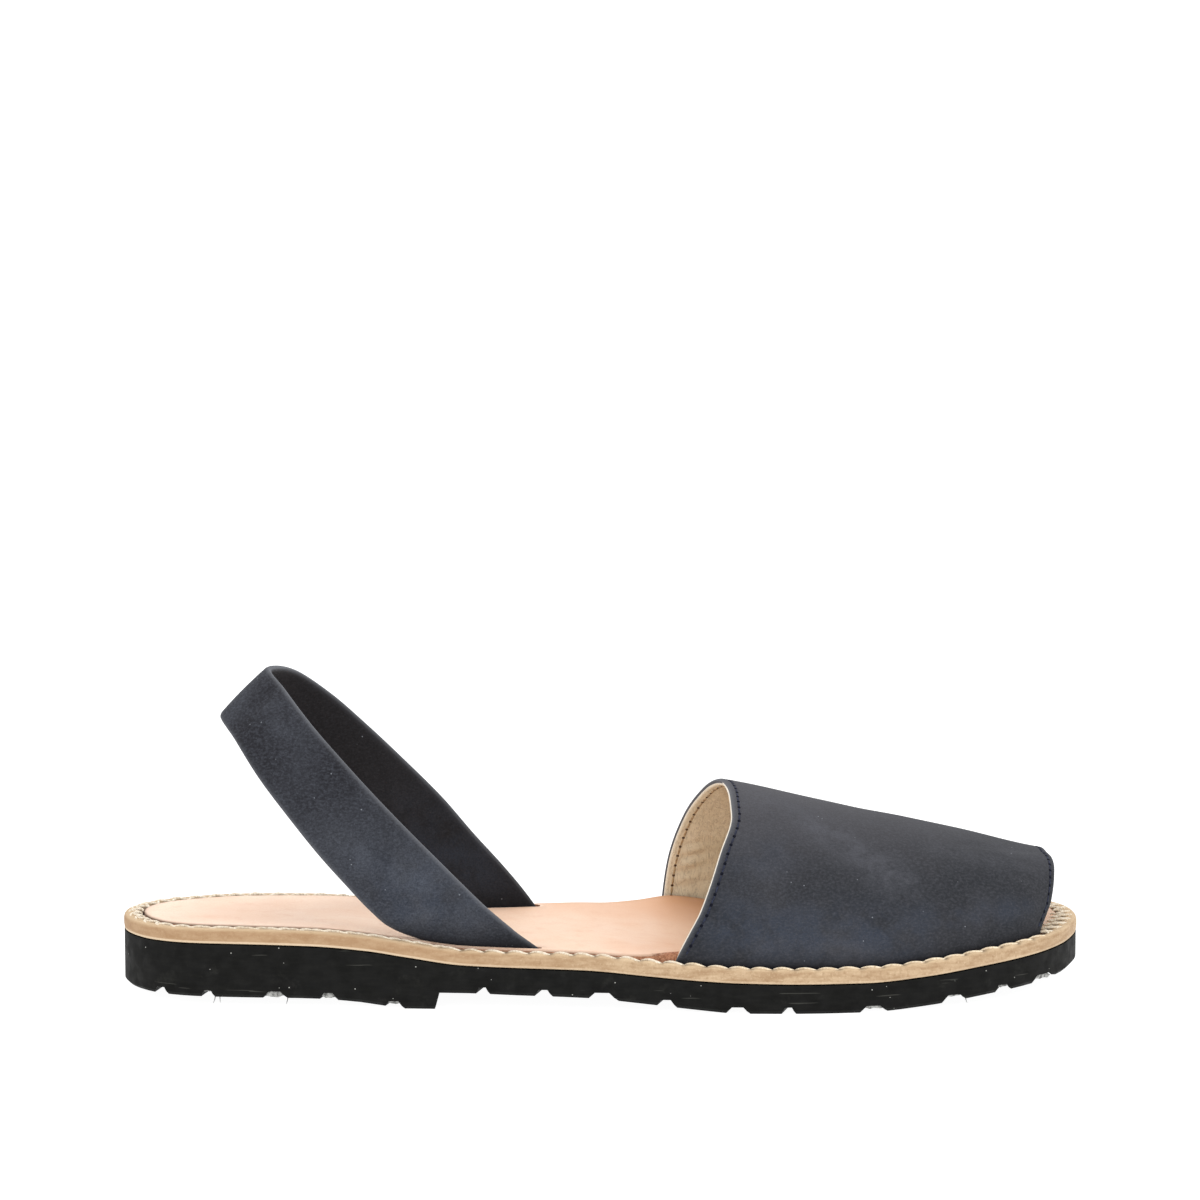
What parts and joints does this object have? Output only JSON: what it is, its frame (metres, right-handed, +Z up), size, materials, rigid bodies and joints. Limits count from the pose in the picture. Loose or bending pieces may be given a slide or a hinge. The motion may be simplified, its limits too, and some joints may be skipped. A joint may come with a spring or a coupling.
{
  "type": "avarca sandal",
  "caption": "Flat right-foot sandal with a wide open-toed nubuck vamp, a heel strap let into the insole, a leather midsole and a lugged rubber sole with a low heel.",
  "frame": {"origin": "middle of the sole's bounding box, on the floor", "axes": "+X from heel to toe, +Y to the inner side of the foot, +Z up"},
  "size_m": [0.266, 0.091, 0.0901],
  "materials": {
    "sole_rubber": "matt black moulded rubber, fine scuffs and pale specks",
    "midsole_leather": "natural tan leather with a pale bottom edge, whip-stitched rim",
    "insole_leather": "smooth vegetable-tanned leather, low gloss",
    "vamp_nubuck": "cloudy navy nubuck, beige leather lining inside",
    "strap_nubuck": "cloudy navy nubuck on both faces"
  },
  "bodies": {
    "root": {"outsole": "sole_rubber", "midsole": "midsole_leather", "insole": "insole_leather", "vamp": "vamp_nubuck", "heel_strap": "strap_nubuck"}
  },
  "joints": []
}
